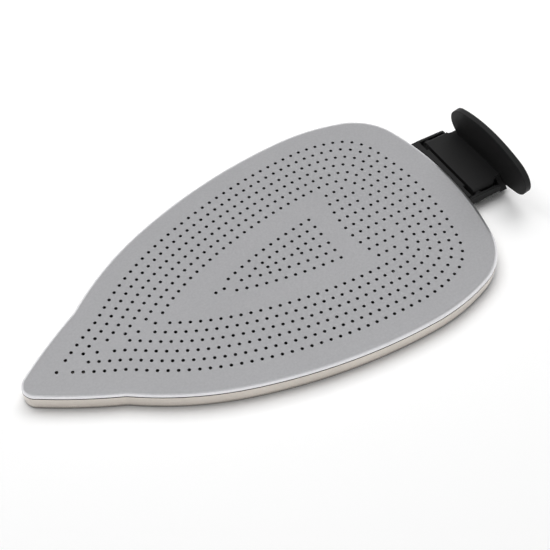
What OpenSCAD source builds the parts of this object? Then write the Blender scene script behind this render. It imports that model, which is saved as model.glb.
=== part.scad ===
// Clip-on shoe for a steam iron. A perforated sole plate is rolled over a rim band,
// and together they make a shallow tray that the iron's own sole drops into.
// A toe lip holds the iron's tip and a hinged latch closes behind its heel.
// The shoe lies with its ironing face up, the tip towards -X, on the lower edge of the band.

/* [Plate outline] */
// length of the sole plate, tip to heel
plate_l = 230; // [222:1:240]
// width of the sole plate at its widest
plate_w = 131; // [126:1:136]
// distance from the widest part back to the heel
heel_l = 59; // [56:1:62]
// radius of the tip
tip_r = 6.5; // [6:0.5:8]
// angle the tip turns through on each side
tip_turn = 55; // [53:1:57]
// radius of the long lobe behind the tip
lobe_r = 258; // [240:1:275]
// angle the lobe turns through
lobe_turn = 8.5; // [7.5:0.5:9.5]
// radius of the shallow waist behind the lobe
waist_r = 12; // [10:1:20]
// angle the waist turns back
waist_turn = 11; // [9:0.5:12]
// angle the shoulder turns through, up to the long side arc
shoulder_turn = 18.5; // [17:0.5:20]
// angle the haunch turns through behind the widest part
haunch_turn = 19.4; // [18:0.2:21]
// radius of the heel corner
corner_r = 30; // [27:1:32]
// angle the heel corner turns through
corner_turn = 54.4; // [53:0.2:56]

/* [Plate section] */
// overall height of the tray, lower edge of the band to ironing face
tray_h = 9.8; // [9:0.1:12]
// thickness of the plate's sheet
sheet_t = 0.8; // [0.6:0.1:1]
// outside radius of the rolled edge
edge_r = 2; // [1.6:0.1:2.4]
// height of the turned-down skirt, from the ironing face to its edge
skirt_h = 2.3; // [2:0.1:2.8]

/* [Steam holes] */
// diameter of a steam hole
hole_d = 1.6; // [1.2:0.1:1.9]
// distance of the outermost side row from the edge
side_inset = 12.2; // [10:0.2:14]
// distance between the nested side rows
row_gap = 5.05; // [4.6:0.05:5.4]
// number of nested rows
row_count = 6; // [4:1:6]
// spacing of the holes along a side row
side_pitch = 4.56; // [4.2:0.02:5]
// distance of the outermost row from the heel
heel_inset = 17; // [15:0.5:19]
// distance between the columns at the heel
column_gap = 4.56; // [4.3:0.02:4.8]
// spacing of the holes along a heel column
heel_pitch = 5.6; // [5:0.1:6]
// corner radius of the outermost row at the heel
row_corner_r = 22; // [18:1:26]
// number of short columns inside the nested rows
inner_columns = 5; // [0:1:5]
// backward bow of a short column, per square millimetre off the axis
inner_bow = 0.0076; // [0:0.0004:0.01]
// distance of the outermost centre row from the edge
centre_inset = 51.4; // [50:0.2:53]
// distance between the centre rows
centre_gap = 5.2; // [5:0.1:5.4]
// distance from the widest part forward to the first centre hole
centre_start = 15.5; // [14:0.5:18]
// spacing of the holes along a centre row and ahead of it
centre_pitch = 4.7; // [4.4:0.05:4.9]
// shortest distance between two hole centres
hole_space = 3.9; // [3:0.1:4.2]

/* [Rim band] */
// thickness of the band's wall
band_t = 1.8; // [1.5:0.1:2.2]
// height of the open seam between skirt and band
seam_h = 0.6; // [0.4:0.1:1]
// clearance between the band's neck and the inside of the skirt
neck_gap = 0.1; // [0.05:0.05:0.2]
// width of the ledge under the plate, from the edge inwards
ledge_w = 4; // [3.4:0.1:4.6]
// distance from the heel forward to where the lower edge starts to rise
rise_run = 80; // [60:1:100]
// rise of the band's lower edge at the heel
rise_h = 3.4; // [2.6:0.1:3.6]
// length of the toe lip along the middle, from the tip
lip_l = 30; // [24:1:34]
// thickness of the toe lip
lip_t = 1.2; // [1:0.1:1.5]
// radius of the toe lip's hollow free edge
lip_edge_r = 34; // [28:1:40]

/* [Latch] */
// sideways place of the latch from the middle of the heel
latch_shift = 6.2; // [0:0.2:8]
// depth of the tray's upper edge above the top of the latch
latch_drop = 1; // [0.8:0.1:1.4]
// thickness of the base strip behind the heel
base_t = 2.3; // [2:0.1:2.6]
// height of the base strip
base_h = 5.2; // [5:0.1:5.3]
// distance between the two cheeks of the base
cheek_span = 42.8; // [41:0.2:44]
// thickness of a cheek
cheek_t = 1.3; // [1.2:0.1:1.6]
// length of a cheek behind the strip
cheek_l = 16.4; // [15:0.2:18]
// height of the cheeks' lower edge above the floor
cheek_low = 3; // [2.8:0.1:3.3]
// height of a cheek beside the strip
cheek_h = 4.9; // [4.6:0.1:5.2]
// fall of a cheek's upper edge towards its rear end
cheek_fall = 1; // [0.6:0.1:1.4]
// radius of a cheek's upper rear corner
cheek_r = 2; // [1:0.2:3]
// open groove between the base strip and the latch
groove_w = 1.5; // [1.2:0.1:1.8]
// gap between the latch block and a cheek
side_gap = 1.5; // [1:0.1:1.8]
// length of the latch block, front to back
block_l = 13.4; // [12:0.2:15]
// radius along the block's upper side edges
block_r = 1.6; // [1:0.1:2.4]
// radius of the block's rear corners
block_corner_r = 2; // [1:0.2:3]
// length of the neck between the block and the tab
neck_l = 4.4; // [3.6:0.1:5]
// width of the neck
neck_w = 35.8; // [32:0.2:36]
// thickness of the neck
neck_t = 4.5; // [4:0.1:5.5]
// radius of the hollow corners beside the neck
neck_r = 1.5; // [1:0.1:2]
// length of the gussets that stiffen the tab, front to back
gusset_l = 2.4; // [1.6:0.1:2.4]
// distance across the two gussets at their foot
gusset_w = 46; // [44:0.5:47]
// height of the gussets' foot above the floor
gusset_low = 2; // [1.6:0.1:3]

/* [Thumb tab] */
// half length of the oval tab
tab_a = 28.8; // [27:0.2:31]
// half height of the oval tab
tab_b = 15; // [14:0.2:16.4]
// radius of the oval's ends
tab_end_r = 11.6; // [10:0.2:12.6]
// thickness of the tab at its ends
tab_t = 3.2; // [2.6:0.1:3.8]
// depth of the hollow in the tab's front
tab_hollow = 0.6; // [0.4:0.1:1]
// height of the tab's lowest point above the floor
tab_low = 3.8; // [3:0.1:4.4]
// angle the tab leans forward over the block
tab_lean = 12; // [6:0.5:14]
// sideways place of the tab from the middle of the block
tab_shift = -9.2; // [-10:0.2:0]

/* [Hinge] */
// diameter of the hinge pin
pin_d = 2; // [1.8:0.1:2.2]
// radial clearance between the pin and the latch
pin_play = 0.05; // [0.03:0.01:0.08]
// radius of the barrel round the pin
barrel_r = 2.4; // [2.2:0.1:2.5]
// height of the barrel's underside above the floor
barrel_low = 2.6; // [2.5:0.1:2.8]
// clearance between the barrel's ends and the cheeks
barrel_gap = 0.3; // [0.25:0.05:0.4]
// depth of the pin's seat in a cheek
pin_seat = 0.7; // [0.6:0.1:0.9]
// length of the open pocket at each end of the groove
pocket_l = 7; // [6:0.1:7.5]
// depth of a pocket into the base strip
pocket_d = 1.2; // [0.8:0.1:1.3]
// depth of a pocket below the top of the strip
pocket_h = 2.8; // [2.4:0.1:3.2]

/* [Base screws] */
// diameter of a screw's shank
screw_d = 2; // [1.8:0.1:2.2]
// diameter of a screw's head
head_d = 3; // [2.8:0.1:3.1]
// height of a screw's head
head_h = 0.9; // [0.7:0.1:1.1]
// width of the slot in the head
slot_w = 0.5; // [0.4:0.1:0.6]
// distance between the two screws
screw_span = 18; // [14:0.5:22]
// depth of the flat seat of a screw's head in the rim
head_sink = 0.3; // [0.2:0.1:0.4]
// length of a screw's shank in the base
screw_grip = 1.8; // [1.6:0.1:1.9]
// height of the screws above the floor
screw_z = 5.2; // [5.1:0.05:5.2]

/* [Part] */
// sub-part to draw

/* [Hidden] */
satin_grey = [0.66, 0.66, 0.67];
champagne = [0.73, 0.69, 0.66];
black = [0.13, 0.13, 0.14];
steel = [0.6, 0.61, 0.62];
arc_fn = 360;
hole_fn = 24;
step_angle = 4;
step_l = 5;
roll_steps = 5;
round_fn = 48;
lap = 0.01;
seat_play = 0.05;

plate_z = tray_h - sheet_t;
band_h = tray_h - skirt_h - seam_h;
wide_x = plate_l - heel_l;
latch_z = tray_h - latch_drop;
base_x = plate_l + base_t;
base_front = plate_l - 3 * base_t;
strip_low = latch_z - base_h;
block_x = base_x + groove_w;
block_end = block_x + block_l;
tab_x = block_end + neck_l;
hinge_z = barrel_low + barrel_r;
hinge_x = block_x + barrel_r;
cheek_y = cheek_span / 2;
cheek_end = base_x + cheek_l;
block_w = cheek_span - 2 * side_gap;
tab_z = tab_low + tab_b * cos(tab_lean);
tab_back = tab_x + (tab_t - tab_hollow) / cos(tab_lean);
overall_l = tab_back + (latch_z - tab_low) * tan(tab_lean);

// Outline. Each arc is [radius, heading at its start, heading at its end, centre]. A hollow arc
// has a negative radius. The chain runs clockwise along the +Y side, tip to heel.
function inward(h) = [sin(h), -cos(h)];
function chord(h0, h1) = [sin(h0) - sin(h1), cos(h1) - cos(h0)];
function shares(rest, a, b) = [cross(rest, b), cross(a, rest)] / cross(a, b);
function placed(arcs, p, i = 0) = i == len(arcs) ? [] :
    let (a = arcs[i], c = p + a[0] * inward(a[1]))
    concat([[a[0], a[1], a[2], c]], placed(arcs, c - a[0] * inward(a[2]), i + 1));
function arc_point(a, h, d) = a[3] - (a[0] - d) * inward(h);
function arc_run(a, d) = abs(a[0] - d) * abs(a[2] - a[1]) * PI / 180;
function walk(arcs, s, d, i = 0) =
    let (a = arcs[i], run = arc_run(a, d))
    s <= run || i == len(arcs) - 1
        ? arc_point(a, a[1] + (a[2] - a[1]) * s / run, d)
        : walk(arcs, s - run, d, i + 1);
function total(v, i = 0) = i == len(v) ? 0 : v[i] + total(v, i + 1);

h1 = 90 - tip_turn;
h2 = h1 - lobe_turn;
h3 = h2 + waist_turn;
h4 = h3 - shoulder_turn;
front_rest = [wide_x, plate_w / 2] - tip_r * chord(90, h1) - lobe_r * chord(h1, h2) + waist_r * chord(h2, h3);
front_r = shares(front_rest, chord(h3, h4), chord(h4, 0));
front = placed([[tip_r, 90, h1], [lobe_r, h1, h2], [-waist_r, h2, h3],
    [front_r[0], h3, h4], [front_r[1], h4, 0]], [0, 0]);

// Three arcs from the widest part round a corner to the middle of the heel.
function rear_arcs(l, w, r) =
    let (g1 = -haunch_turn, g2 = g1 - corner_turn,
        free = shares([l, -w] - r * chord(g1, g2), chord(0, g1), chord(g2, -90)))
    placed([[free[0], 0, g1], [r, g1, g2], [free[1], g2, -90]], [wide_x, w]);
rear = rear_arcs(heel_l, plate_w / 2, corner_r);
half = concat(front, rear);
heel_r = rear[2][0];
heel_centre = rear[2][3];

function arc_steps(a) = max(ceil(abs(a[1] - a[2]) / step_angle), ceil(arc_run(a, 0) / step_l));
function half_points(d) = [for (a = half) let (n = arc_steps(a))
    for (i = [0:n - 1]) arc_point(a, a[1] + (a[2] - a[1]) * i / n, d)];
function outline(d) =
    let (side = half_points(d), heel = arc_point(rear[2], -90, d))
    concat(side, [heel], [for (i = [len(side) - 1:-1:1]) [side[i][0], -side[i][1]]]);

// Steam holes of the +Y half. A nested row walks forward beside the edge and back round the heel.
ahead = [for (i = [4:-1:1]) [front[i][0], front[i][2], front[i][1], front[i][3]]];
function side_row(d) = [for (i = [0:1:ceil(plate_l / side_pitch)])
    let (p = walk(ahead, i * side_pitch, d))
    if (p[1] > side_pitch * 0.4 && p[0] > side_inset) p];
function apex(row) = let (e = row[len(row) - 1], f = row[len(row) - 2])
    e[1] < side_pitch * 0.7 ? [] : [[e[0] - e[1] * (f[0] - e[0]) / (f[1] - e[1]), 0]];

// A centre row of n holes beside the edge, then m more holes ahead of it on the axis.
function centre_row(d, n, m) =
    let (row = [for (i = [0:n - 1]) walk(ahead, centre_start + i * centre_pitch, d)])
    concat(row, [for (i = [1:m]) [row[n - 1][0] - i * (centre_pitch - 0.3), 0]]);
function with_apex(row) = concat(row, apex(row));
function heel_row(k) =
    let (arcs = rear_arcs(heel_l - heel_inset - k * column_gap, plate_w / 2 - side_inset - k * row_gap,
            max(row_corner_r - 3.4 * k, 4)),
        l = total([for (a = arcs) arc_run(a, 0)]),
        n = round(2 * l / (side_pitch + heel_pitch)),
        rate = l / n / (side_pitch + heel_pitch))
    [for (i = [1:n]) walk(arcs, min(rate * i * (2 * side_pitch + (heel_pitch - side_pitch) * i / n), l), 0)];
function far_from(p, others) = min([for (q = others) norm(p - q)]) > hole_space;
function inner_column(j) = [for (i = [0:4]) let (y = i * (heel_pitch - 0.15))
    [plate_l - heel_inset - j * column_gap + inner_bow * y * y, y]];

nested = [for (k = [0:row_count - 1]) each with_apex(side_row(side_inset + k * row_gap))];
around = [for (k = [0:row_count - 1]) each heel_row(k)];
inside = [for (j = [row_count:row_count + inner_columns - 1]) each inner_column(j)];
centre = concat(centre_row(centre_inset, 12, 2), centre_row(centre_inset + centre_gap, 9, 2),
    centre_row(centre_inset + 2 * centre_gap, 4, 4));
first_holes = concat(nested, around, centre);
holes = concat(first_holes, [for (p = inside) if (far_from(p, concat(nested, around))) p]);

module steam_holes() {
    for (p = holes, side = p[1] < 0.1 ? [1] : [1, -1])
        translate([p[0], side * p[1]])
            circle(d = hole_d, $fn = hole_fn);
}

// Closed shell that carries a section round the outline. Each point of the section is
// [distance in from the edge, height].
module carried(section) {
    rings = [for (p = section) outline(p[0])];
    n = len(rings[0]);
    m = len(section);
    polyhedron(
        points = [for (j = [0:m - 1]) for (q = rings[j]) [q[0], q[1], section[j][1]]],
        faces = [for (j = [0:m - 1], i = [0:n - 1])
            [j * n + i, (j + 1) % m * n + i, (j + 1) % m * n + (i + 1) % n, j * n + (i + 1) % n]]);
}

function bend(r, a0, a1, steps) = [for (i = [0:steps]) let (a = a0 + (a1 - a0) * i / steps)
    [edge_r - r * cos(a), tray_h - edge_r + r * sin(a)]];

// Skirt and rolled edge in one section. The sheet joins it at its inner end.
function rolled_edge() = concat(
    bend(edge_r, 90, 0, roll_steps),
    [[0, tray_h - skirt_h], [sheet_t, tray_h - skirt_h]],
    bend(edge_r - sheet_t, 0, 90, roll_steps - 2));

module sole_plate() {
    color(satin_grey) {
        translate([0, 0, plate_z])
            linear_extrude(sheet_t)
                difference() {
                    polygon(outline(edge_r));
                    steam_holes();
                }
        carried(rolled_edge());
    }
}

// One level of the rim band: a wall from d0 to d1 in from the edge, from z0 to z1.
module course(d0, d1, z0, z1) {
    translate([0, 0, z0])
        linear_extrude(z1 - z0)
            difference() {
                polygon(outline(d0));
                polygon(outline(d1));
            }
}

// What lies below the rising lower edge behind the widest part.
module heel_rise() {
    rise_r = (rise_run * rise_run + rise_h * rise_h) / (2 * rise_h);
    difference() {
        translate([plate_l - rise_run, -plate_w / 2 - 1, -1])
            cube([rise_run + 1, plate_w + 2, rise_h + 2]);
        translate([plate_l - rise_run, 0, rise_r])
            rotate([90, 0, 0])
                cylinder(r = rise_r, h = plate_w + 4, center = true, $fn = 1440);
    }
}

module toe_lip() {
    linear_extrude(lip_t)
        difference() {
            intersection() {
                polygon(outline(band_t / 2));
                translate([0, -plate_w / 2])
                    square([lip_l + edge_r * 3, plate_w]);
            }
            translate([lip_l + lip_edge_r, 0])
                circle(r = lip_edge_r, $fn = arc_fn);
        }
}

// Places a screw's axis square to the rim, with z = 0 on the rim's outer face.
module at_screw(side) {
    angle = asin((latch_shift + side * screw_span / 2) / heel_r);
    translate([heel_centre[0], heel_centre[1], screw_z])
        rotate([0, 0, angle])
            translate([heel_r, 0, 0])
                rotate([0, 90, 0])
                    children();
}

module rim_band() {
    color(champagne)
        difference() {
            union() {
                course(0, band_t, 0, band_h);
                course(sheet_t + neck_gap, ledge_w, band_h, tray_h - edge_r);
                course(edge_r, ledge_w, tray_h - edge_r, plate_z);
                toe_lip();
            }
            heel_rise();
            for (side = [-1, 1])
                at_screw(side) {
                    cylinder(d = screw_d, h = 4 * band_t, center = true, $fn = round_fn);
                    translate([0, 0, head_sink - 2 * band_t])
                        cylinder(r = head_d / 2 + seat_play, h = band_t, $fn = round_fn);
                }
        }
}

module screw(side) {
    shank_l = band_t - head_sink + screw_grip;
    color(steel)
        at_screw(side)
            translate([0, 0, head_sink - band_t])
                difference() {
                    union() {
                        cylinder(d = screw_d, h = shank_l, $fn = round_fn);
                        translate([0, 0, -head_h])
                            cylinder(d = head_d, h = head_h, $fn = round_fn);
                    }
                    translate([0, 0, -head_h])
                        cube([slot_w, head_d + 1, head_h], center = true);
                }
}

// A cylinder along the hinge, up to y from the latch's middle on both sides.
module along_hinge(y, r) {
    translate([hinge_x, latch_shift, hinge_z])
        rotate([90, 0, 0])
            cylinder(r = r, h = 2 * y, center = true, $fn = round_fn);
}

// Side view of a cheek, from inside the rim to its rounded rear corner.
module cheek_side() {
    front_z = cheek_low + cheek_h;
    rear_z = front_z - cheek_fall;
    difference() {
        polygon([[base_front, cheek_low], [cheek_end, cheek_low], [cheek_end, rear_z],
            [base_x, front_z], [base_front, front_z]]);
        difference() {
            translate([cheek_end - cheek_r, rear_z - cheek_r])
                square(2 * cheek_r);
            translate([cheek_end - cheek_r, rear_z - cheek_r])
                circle(r = cheek_r, $fn = round_fn);
        }
    }
}

module latch_base() {
    color(black)
        difference() {
            union() {
                translate([base_front, latch_shift - cheek_y, strip_low])
                    cube([base_x - base_front, cheek_span, base_h]);
                for (side = [-1, 1])
                    translate([0, latch_shift + side * (cheek_y + cheek_t / 2) + cheek_t / 2, 0])
                        rotate([90, 0, 0])
                            linear_extrude(cheek_t)
                                cheek_side();
            }
            translate([heel_centre[0], heel_centre[1], -1])
                cylinder(r = heel_r, h = tray_h + 2, $fn = 2 * arc_fn);
            for (side = [-1, 1]) {
                translate([base_x - pocket_d, latch_shift + side * (cheek_y - pocket_l / 2) - pocket_l / 2,
                    latch_z - pocket_h])
                    cube([2 * pocket_d, pocket_l, 2 * pocket_h]);
                at_screw(side)
                    translate([0, 0, -band_t])
                        cylinder(d = screw_d, h = band_t + screw_grip, $fn = round_fn);
            }
            along_hinge(cheek_y + pin_seat, pin_d / 2);
        }
}

// Oval of two long arcs and two end arcs, which cross by a hair where they meet.
module oval(a, b, r) {
    long_r = ((a - r) * (a - r) + b * b - r * r) / (2 * (b - r));
    meet = (a - r) * long_r / (long_r - r);
    intersection() {
        translate([0, b - long_r])
            circle(r = long_r, $fn = arc_fn);
        translate([0, long_r - b])
            circle(r = long_r, $fn = arc_fn);
        square([2 * meet, 4 * b], center = true);
    }
    for (side = [-1, 1])
        translate([side * (a - r), 0])
            circle(r = r + lap, $fn = 2 * round_fn);
}

module thumb_tab() {
    hollow_r = (tab_a * tab_a + tab_hollow * tab_hollow) / (2 * tab_hollow);
    translate([tab_back - (tab_z - latch_z) * tan(tab_lean), latch_shift + tab_shift, tab_z])
        rotate([0, -tab_lean, 0])
            difference() {
                translate([-tab_t, 0, 0])
                    rotate([90, 0, 90])
                        linear_extrude(tab_t)
                            oval(tab_a, tab_b, tab_end_r);
                translate([tab_hollow - tab_t - hollow_r, 0, 0])
                    cylinder(r = hollow_r, h = 4 * tab_b, center = true, $fn = 2 * arc_fn);
            }
}

// Section of the latch block across the hinge, with its rounded upper edges.
module block_section() {
    h = latch_z - barrel_low;
    translate([-block_w / 2, 0])
        square([block_w, h - block_r]);
    translate([block_r - block_w / 2, 0])
        square([block_w - 2 * block_r, h]);
    for (side = [-1, 1])
        translate([side * (block_w / 2 - block_r), h - block_r])
            circle(r = block_r, $fn = round_fn);
}

// Plan of the latch block, rounded at the rear.
module block_plan() {
    translate([0, -block_w / 2])
        square([block_l - block_corner_r, block_w]);
    translate([0, block_corner_r - block_w / 2])
        square([block_l, block_w - 2 * block_corner_r]);
    for (side = [-1, 1])
        translate([block_l - block_corner_r, side * (block_w / 2 - block_corner_r)])
            circle(r = block_corner_r, $fn = round_fn);
}

// Plan of the neck, with hollow corners where it leaves the block.
module neck_plan() {
    translate([-block_corner_r, -neck_w / 2])
        square([block_corner_r + neck_l + 1, neck_w]);
    difference() {
        translate([0, -neck_w / 2 - neck_r])
            square([neck_r, neck_w + 2 * neck_r]);
        for (side = [-1, 1])
            translate([neck_r, side * (neck_w / 2 + neck_r)])
                circle(r = neck_r, $fn = round_fn);
    }
}

// Sloping web between the neck and the tab, seen from the front.
module gusset() {
    for (side = [-1, 1])
        polygon([[0, gusset_low], [side * gusset_w / 2, gusset_low],
            [side * neck_w / 2, latch_z - 1], [0, latch_z - 1]]);
}

module block() {
    difference() {
        intersection() {
            rotate([90, 0, 90])
                linear_extrude(block_l)
                    block_section();
            linear_extrude(tray_h)
                block_plan();
        }
        translate([-1, -block_w, -1])
            cube([barrel_r + 1, 2 * block_w, barrel_r + 1]);
    }
}

module latch_arm() {
    color(black)
        difference() {
            union() {
                translate([block_x, latch_shift, barrel_low])
                    block();
                along_hinge(cheek_y - barrel_gap, barrel_r);
                translate([block_end, latch_shift, latch_z - neck_t])
                    linear_extrude(neck_t)
                        neck_plan();
                translate([tab_x - gusset_l, latch_shift, 0])
                    rotate([90, 0, 90])
                        linear_extrude(gusset_l + tab_t / 2)
                            gusset();
                thumb_tab();
            }
            along_hinge(cheek_y, pin_d / 2 + pin_play);
        }
}

module hinge_pin() {
    color(steel)
        along_hinge(cheek_y + pin_seat, pin_d / 2);
}

module screw_near() {
    screw(-1);
}

module screw_far() {
    screw(1);
}

translate([-overall_l / 2, 0, 0]) {
    sole_plate();
    rim_band();
    latch_base();
    latch_arm();
    hinge_pin();
    screw_near();
    screw_far();
}
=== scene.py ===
"""Clip-on ironing shoe: finishes, floor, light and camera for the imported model."""

import logging
import math
from dataclasses import dataclass
from enum import Enum

import bpy
from mathutils import Matrix, Vector

log = logging.getLogger("ironing_shoe")

Colour = tuple[float, float, float]
Point = tuple[float, float, float]
Span = tuple[float, float]
Tree = bpy.types.NodeTree
Socket = bpy.types.NodeSocket

NOISE_DETAIL = 2.0
NOISE_SPAN: Span = (0.3, 0.7)
SURFACE_SAMPLES = 6
FLOOR_SAMPLES = 12
LACQUER_ROUGHNESS = 0.18

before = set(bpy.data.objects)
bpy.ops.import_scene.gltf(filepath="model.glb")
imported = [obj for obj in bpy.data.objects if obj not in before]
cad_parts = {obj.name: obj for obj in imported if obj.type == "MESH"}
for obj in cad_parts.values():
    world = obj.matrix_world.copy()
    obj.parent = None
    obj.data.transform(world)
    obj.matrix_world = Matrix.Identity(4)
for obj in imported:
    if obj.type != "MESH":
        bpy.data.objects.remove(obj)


def lin(red: int, green: int, blue: int) -> Colour:
    """Turn a colour written in screen values into the linear values a shader takes.

    Args:
        red: Red, 0 to 255.
        green: Green, 0 to 255.
        blue: Blue, 0 to 255.

    Returns:
        The three linear values.
    """
    return tuple(((c / 255 + 0.055) / 1.055) ** 2.4 for c in (red, green, blue))


def maths(tree: Tree, operation: str, first: Socket, second: Socket) -> Socket:
    """Add a maths node.

    Args:
        tree: The nodes of a material or world.
        operation: The node's operation.
        first: First value.
        second: Second value.

    Returns:
        The result.
    """
    node = tree.nodes.new("ShaderNodeMath")
    node.operation = operation
    tree.links.new(first, node.inputs[0])
    tree.links.new(second, node.inputs[1])
    return node.outputs[0]


def ramp(tree: Tree, value: Socket, source: Span, result: Span, smooth: bool = True) -> Socket:
    """Map a value from one range to another.

    Args:
        tree: The nodes of a material or world.
        value: The value.
        source: Range of the value.
        result: What the ends of that range become.
        smooth: Whether the ends are eased.

    Returns:
        The mapped value.
    """
    node = tree.nodes.new("ShaderNodeMapRange")
    node.interpolation_type = "SMOOTHSTEP" if smooth else "LINEAR"
    for name, number in zip(("From Min", "From Max", "To Min", "To Max"), source + result):
        node.inputs[name].default_value = number
    tree.links.new(value, node.inputs["Value"])
    return node.outputs[0]


def openness(tree: Tree, reach: float, samples: int) -> Socket:
    """Measure how open the surroundings of a surface are.

    Args:
        tree: The material's nodes.
        reach: How far a cover counts, in metres.
        samples: Number of directions that are tried.

    Returns:
        A value of 1 in the open, 0 where covered all round.
    """
    node = tree.nodes.new("ShaderNodeAmbientOcclusion")
    node.samples = samples
    node.inputs["Distance"].default_value = reach
    return node.outputs["AO"]


class Grain(Enum):
    """How a surface was made, with the size of its pattern in cycles per metre."""

    PRESSED = 900.0
    ROLLED = 1400.0
    MOULDED = 2600.0


class PaintedShade(Enum):
    """Painted shade where a surface is hidden: how far a cover counts in metres, and the openness from dark to
    clear.
    """

    CREASE = (0.002, (0.5, 1.0))
    HOLLOW = (0.012, (0.1, 0.35))


@dataclass(frozen=True)
class Finish:
    """A surface finish: a base colour with a fine grain, slow variation, painted shade in creases and hollows,
    and a soft edge.

    Args:
        name: Name of the material.
        colour: Base colour, linear.
        metallic: Metallic value of the shader.
        roughness: Roughness of the shader.
        grain: How the surface was made.
        speckle: Share by which the fine grain changes the colour.
        cloud: Share by which slow variation changes the colour.
        bump: Height of the grain in metres.
        edge: Radius in metres by which edges look softened.
        gloss: Specular level of the shader, where 0.5 is plain plastic.
        crease_shade: Share by which narrow creases are darker, a painted shade.
        hollow_shade: Share by which the inside of the tray is darker, a painted shade.
        drift: Size of the slow variation in cycles per metre.
        coat: Weight of a clear lacquer.
    """

    name: str
    colour: Colour
    metallic: float
    roughness: float
    grain: Grain
    speckle: float
    cloud: float
    bump: float
    edge: float = 0.0
    gloss: float = 0.5
    crease_shade: float = 0.0
    hollow_shade: float = 0.0
    drift: float = 38.0
    coat: float = 0.0

    def material(self) -> bpy.types.Material:
        """Build the material.

        Returns:
            The new material.
        """
        mat = bpy.data.materials.new(self.name)
        mat.use_nodes = True
        tree = mat.node_tree
        shader = tree.nodes["Principled BSDF"]
        shader.inputs["Metallic"].default_value = self.metallic
        shader.inputs["Roughness"].default_value = self.roughness
        shader.inputs["Specular IOR Level"].default_value = self.gloss
        shader.inputs["Coat Weight"].default_value = self.coat
        shader.inputs["Coat Roughness"].default_value = LACQUER_ROUGHNESS
        place = tree.nodes.new("ShaderNodeTexCoord").outputs["Object"]
        fine = self._noise(tree, place, self.grain.value)
        slow = self._noise(tree, place, self.drift)
        tree.links.new(self._colour(tree, fine, slow), shader.inputs["Base Color"])
        tree.links.new(self._normal(tree, fine), shader.inputs["Normal"])
        return mat

    def _colour(self, tree: Tree, fine: Socket, slow: Socket) -> Socket:
        """Vary the base colour by both noises and darken what is covered, as painted shade.

        Args:
            tree: The material's nodes.
            fine: Noise of the grain.
            slow: Noise of the slow variation.

        Returns:
            The colour.
        """
        tone_and_shade = maths(
            tree, "MULTIPLY", self._around_one(tree, fine, self.speckle), self._around_one(tree, slow, self.cloud)
        )
        # Painted shade: the colour is darkened where ambient occlusion finds the surface covered.
        for share, cover in ((self.crease_shade, PaintedShade.CREASE), (self.hollow_shade, PaintedShade.HOLLOW)):
            if share > 0:
                reach, span = cover.value
                clear = openness(tree, reach, SURFACE_SAMPLES)
                tone_and_shade = maths(tree, "MULTIPLY", tone_and_shade, ramp(tree, clear, span, (1 - share, 1.0), smooth=False))
        scale = tree.nodes.new("ShaderNodeVectorMath")
        scale.operation = "SCALE"
        scale.inputs[0].default_value = self.colour
        tree.links.new(tone_and_shade, scale.inputs["Scale"])
        return scale.outputs[0]

    def _normal(self, tree: Tree, fine: Socket) -> Socket:
        """Raise the grain and soften the edges.

        Args:
            tree: The material's nodes.
            fine: Noise of the grain.

        Returns:
            The normal.
        """
        bump = tree.nodes.new("ShaderNodeBump")
        bump.inputs["Distance"].default_value = self.bump
        bump.inputs["Strength"].default_value = 1.0
        tree.links.new(fine, bump.inputs["Height"])
        if self.edge > 0:
            soft = tree.nodes.new("ShaderNodeBevel")
            soft.samples = SURFACE_SAMPLES
            soft.inputs["Radius"].default_value = self.edge
            tree.links.new(soft.outputs[0], bump.inputs["Normal"])
        return bump.outputs[0]

    @staticmethod
    def _noise(tree: Tree, place: Socket, size: float) -> Socket:
        """Add a noise read in object coordinates.

        Args:
            tree: The material's nodes.
            place: The object coordinates.
            size: Cycles per metre.

        Returns:
            The noise's value, 0 to 1.
        """
        noise = tree.nodes.new("ShaderNodeTexNoise")
        noise.inputs["Scale"].default_value = size
        noise.inputs["Detail"].default_value = NOISE_DETAIL
        tree.links.new(place, noise.inputs["Vector"])
        return noise.outputs["Fac"]

    @staticmethod
    def _around_one(tree: Tree, value: Socket, share: float) -> Socket:
        """Spread a noise over one plus or minus a share.

        Args:
            tree: The material's nodes.
            value: The noise.
            share: Half width of the spread.

        Returns:
            The spread value.
        """
        return ramp(tree, value, NOISE_SPAN, (1 - share, 1 + share), smooth=False)


def dress(node: str, finish: Finish) -> None:
    """Give a node its finish.

    Args:
        node: Name of the node.
        finish: The finish.
    """
    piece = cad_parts[node]
    mat = bpy.data.materials.get(finish.name) or finish.material()
    if not piece.material_slots:
        piece.data.materials.append(mat)
    for slot in piece.material_slots:
        slot.material = mat


@dataclass
class SoleTray:
    """The perforated sole plate on its rim band.

    Args:
        plate: Finish of the pressed sheet.
        band: Finish of the rim band.
    """

    plate: Finish = Finish(
        name="satin_aluminium",
        colour=(0.775, 0.775, 0.795),
        metallic=0.92,
        roughness=0.3,
        grain=Grain.PRESSED,
        speckle=0.03,
        cloud=0.015,
        bump=0.0000015,
        # Painted shade in the narrow creases of the plate.
        crease_shade=0.9,
    )
    band: Finish = Finish(
        name="champagne_rim",
        colour=lin(238, 229, 219),
        metallic=0.3,
        roughness=0.36,
        grain=Grain.ROLLED,
        speckle=0.02,
        cloud=0.06,
        bump=0.000004,
        edge=0.0002,
        # Painted shade at the seam under the rolled edge.
        crease_shade=0.9,
        # Painted shade on the inside of the tray.
        hollow_shade=0.9,
        drift=16.0,
        coat=0.8,
    )

    def build(self) -> list[str]:
        """Dress the plate and the band.

        Returns:
            Names of the dressed pieces.
        """
        dress("sole_plate", self.plate)
        dress("rim_band", self.band)
        return ["sole_plate", "rim_band"]


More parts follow.
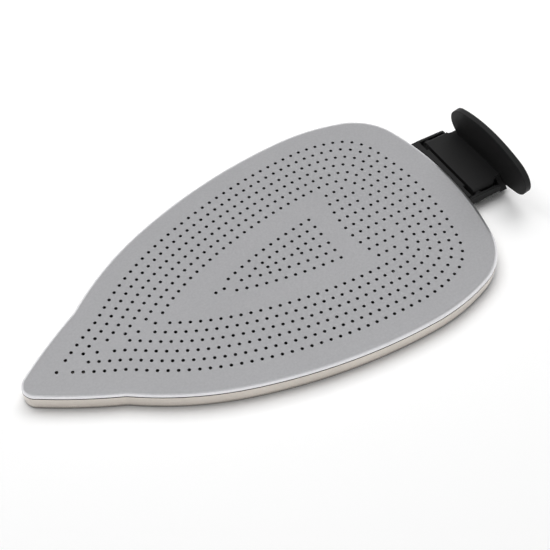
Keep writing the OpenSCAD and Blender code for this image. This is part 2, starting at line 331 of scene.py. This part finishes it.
@dataclass
class HeelLatch:
    """The black latch: base with its cheeks, arm with the thumb tab, pin and screws.

    Args:
        plastic: Finish of both mouldings.
        steel: Finish of the pin and the screws.
        mouldings: Names of the plastic pieces.
        fixings: Names of the steel pieces.
    """

    plastic: Finish = Finish(
        name="black_moulding",
        colour=(0.0235, 0.0235, 0.0238),
        metallic=0.0,
        roughness=0.42,
        grain=Grain.MOULDED,
        speckle=0.08,
        cloud=0.03,
        bump=0.000006,
        edge=0.0006,
        gloss=0.06,
    )
    steel: Finish = Finish(
        name="bright_steel",
        colour=lin(196, 197, 198),
        metallic=1.0,
        roughness=0.3,
        grain=Grain.ROLLED,
        speckle=0.03,
        cloud=0.02,
        bump=0.000004,
    )
    mouldings: tuple[str, ...] = ("latch_base", "latch_arm")
    fixings: tuple[str, ...] = ("hinge_pin", "screw_near", "screw_far")

    def build(self) -> list[str]:
        """Dress the latch's pieces.

        Returns:
            Names of the dressed pieces.
        """
        for node in self.mouldings:
            dress(node, self.plastic)
        for node in self.fixings:
            dress(node, self.steel)
        return [*self.mouldings, *self.fixings]


@dataclass(frozen=True)
class Lamp:
    """A soft lamp that is turned to the object and doesn't show in gloss.

    Args:
        name: Name of the lamp.
        power: Power in watts.
        place: Place in metres.
        size: Width and height in metres.
    """

    name: str
    power: float
    place: Point
    size: Span

    def build(self) -> None:
        """Hang the lamp."""
        data = bpy.data.lights.new(self.name, "AREA")
        data.energy = self.power
        data.shape = "RECTANGLE"
        data.size, data.size_y = self.size
        stand = bpy.data.objects.new(self.name, data)
        bpy.context.scene.collection.objects.link(stand)
        stand.location = self.place
        stand.rotation_euler = (-Vector(self.place)).to_track_quat("-Z", "Y").to_euler()
        stand.visible_glossy = False


@dataclass
class Studio:
    """Pale floor, soft light and the camera.

    Args:
        floor_size: Side of the floor in metres.
        floor_shade_tones: Colour of the floor where it is covered, a painted shade under the tray, and where it
            is open.
        cover_reach: How far a cover counts for the floor's painted shade, in metres.
        floor_shade_span: Openness over which the floor's colour goes from the painted shade to pale.
        glow: Share of its brightness that the open floor shows without a lamp.
        glow_span: Openness over which that share comes in; below it the glow fades, a painted shade under and
            beside the tray.
        fade: Distances in metres between which the floor turns plain white.
        dome: Strength of the light from all round.
        low_sheen: Brightness near the horizon as gloss shows it.
        high_sheen: Brightness high up as gloss shows it.
        top_sheen: How much brighter it is straight above.
        sheen_fall: Heights between which the low sheen turns into the high one.
        sheen_rise: Heights between which the top sheen comes in.
        lamps: The lamps.
        focal: Focal length of the camera in millimetres.
        sensor: Width of the camera's sensor in millimetres.
        clip: Nearest and farthest distance that the camera shows, in metres.
        azimuth: Direction of view in plan, in degrees.
        elevation: Height of the camera above the horizon, in degrees.
        roll: Turn of the camera about its axis, in degrees.
        place: Place of the camera in metres.
    """

    floor_size: float = 6.0
    floor_shade_tones: Span = (0.05, 0.93)
    cover_reach: float = 0.03
    floor_shade_span: Span = (0.15, 0.4)
    glow: float = 0.12
    glow_span: Span = (0.3, 0.75)
    fade: Span = (0.3, 0.95)
    dome: float = 0.12
    low_sheen: float = 0.95
    high_sheen: float = 0.38
    top_sheen: float = 0.12
    sheen_fall: Span = (0.32, 0.66)
    sheen_rise: Span = (0.66, 0.92)
    lamps: tuple[Lamp, ...] = (
        Lamp("key_lamp", 15.0, (0.12, 0.45, 1.0), (1.5, 0.8)),
        Lamp("fill_lamp", 4.6, (0.15, -1.3, 0.3), (0.8, 0.8)),
    )
    focal: float = 76.063
    sensor: float = 36.0
    clip: Span = (0.01, 50.0)
    azimuth: float = -32.452
    elevation: float = 52.168
    roll: float = -0.092
    place: Point = (-0.17869, -0.281192, 0.430086)

    def build(self) -> list[str]:
        """Make floor, light and camera.

        Returns:
            Names of what was made.
        """
        self.make_floor()
        self.make_light()
        self.make_camera()
        return ["floor", *(lamp.name for lamp in self.lamps), "camera"]

    def make_floor(self) -> None:
        """Lay the floor."""
        bpy.ops.object.select_all(action="DESELECT")
        bpy.ops.mesh.primitive_plane_add(size=self.floor_size)
        floor = bpy.context.object
        floor.name = "floor"
        mat = bpy.data.materials.new("pale_floor")
        mat.use_nodes = True
        tree = mat.node_tree
        shader = tree.nodes["Principled BSDF"]
        shader.inputs["Roughness"].default_value = 0.9
        shader.inputs["Specular IOR Level"].default_value = 0.0
        shader.inputs["Emission Color"].default_value = (1, 1, 1, 1)
        clear = openness(tree, self.cover_reach, FLOOR_SAMPLES)
        reach = tree.nodes.new("ShaderNodeVectorMath")
        reach.operation = "LENGTH"
        tree.links.new(tree.nodes.new("ShaderNodeTexCoord").outputs["Object"], reach.inputs[0])
        # Painted shade: the floor's glow fades where it is covered, under and beside the tray.
        glow_with_painted_shade = ramp(tree, clear, self.glow_span, (0.0, self.glow))
        far_off = ramp(tree, reach.outputs["Value"], self.fade, (0.0, 1.0))
        bright = maths(tree, "ADD", glow_with_painted_shade, far_off)
        seen = maths(tree, "MULTIPLY", bright, self.direct_look(tree))
        tree.links.new(seen, shader.inputs["Emission Strength"])
        # Painted shade: the floor's colour turns dark where it is covered, under the tray.
        tree.links.new(ramp(tree, clear, self.floor_shade_span, self.floor_shade_tones), shader.inputs["Base Color"])
        floor.data.materials.append(mat)

    @staticmethod
    def direct_look(tree: Tree) -> Socket:
        """Tell a look by the camera or in a gloss from light that spreads.

        Args:
            tree: The material's nodes.

        Returns:
            A value of 1 for a look, otherwise 0.
        """
        path = tree.nodes.new("ShaderNodeLightPath")
        return maths(tree, "MAXIMUM", path.outputs["Is Camera Ray"], path.outputs["Is Glossy Ray"])

    def make_light(self) -> None:
        """Set the light from all round and hang the lamps."""
        world = bpy.data.worlds.new("studio")
        bpy.context.scene.world = world
        world.use_nodes = True
        tree = world.node_tree
        back = tree.nodes["Background"]
        back.inputs["Color"].default_value = (1, 1, 1, 1)
        path = tree.nodes.new("ShaderNodeLightPath")
        parts = tree.nodes.new("ShaderNodeSeparateXYZ")
        tree.links.new(tree.nodes.new("ShaderNodeTexCoord").outputs["Generated"], parts.inputs[0])
        height = parts.outputs["Z"]
        falling = ramp(tree, height, self.sheen_fall, (self.low_sheen, self.high_sheen))
        rising = ramp(tree, height, self.sheen_rise, (0.0, self.top_sheen))
        spread = tree.nodes.new("ShaderNodeMix")
        spread.inputs["A"].default_value = self.dome
        tree.links.new(path.outputs["Is Glossy Ray"], spread.inputs["Factor"])
        tree.links.new(maths(tree, "ADD", falling, rising), spread.inputs["B"])
        seen = tree.nodes.new("ShaderNodeMix")
        seen.inputs["B"].default_value = 1.0
        tree.links.new(path.outputs["Is Camera Ray"], seen.inputs["Factor"])
        tree.links.new(spread.outputs["Result"], seen.inputs["A"])
        tree.links.new(seen.outputs["Result"], back.inputs["Strength"])
        for lamp in self.lamps:
            lamp.build()

    def make_camera(self) -> None:
        """Set the camera where the photograph was taken."""
        data = bpy.data.cameras.new("camera")
        data.lens = self.focal
        data.sensor_width = self.sensor
        data.clip_start, data.clip_end = self.clip
        camera = bpy.data.objects.new("camera", data)
        bpy.context.scene.collection.objects.link(camera)
        turn = (
            Matrix.Rotation(math.radians(self.azimuth), 4, "Z")
            @ Matrix.Rotation(math.radians(90 - self.elevation), 4, "X")
            @ Matrix.Rotation(math.radians(self.roll), 4, "Z")
        )
        camera.matrix_world = Matrix.Translation(self.place) @ turn
        bpy.context.scene.camera = camera


def main() -> None:
    """Build the scene in order and report each piece."""
    logging.basicConfig(level=logging.INFO, format="%(message)s")
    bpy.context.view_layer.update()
    for part in (SoleTray(), HeelLatch(), Studio()):
        for name in part.build():
            log.info("%s: %s", type(part).__name__, name)
    bpy.context.scene.view_settings.view_transform = "Standard"
    bpy.context.view_layer.update()


if __name__ == "__main__":
    main()
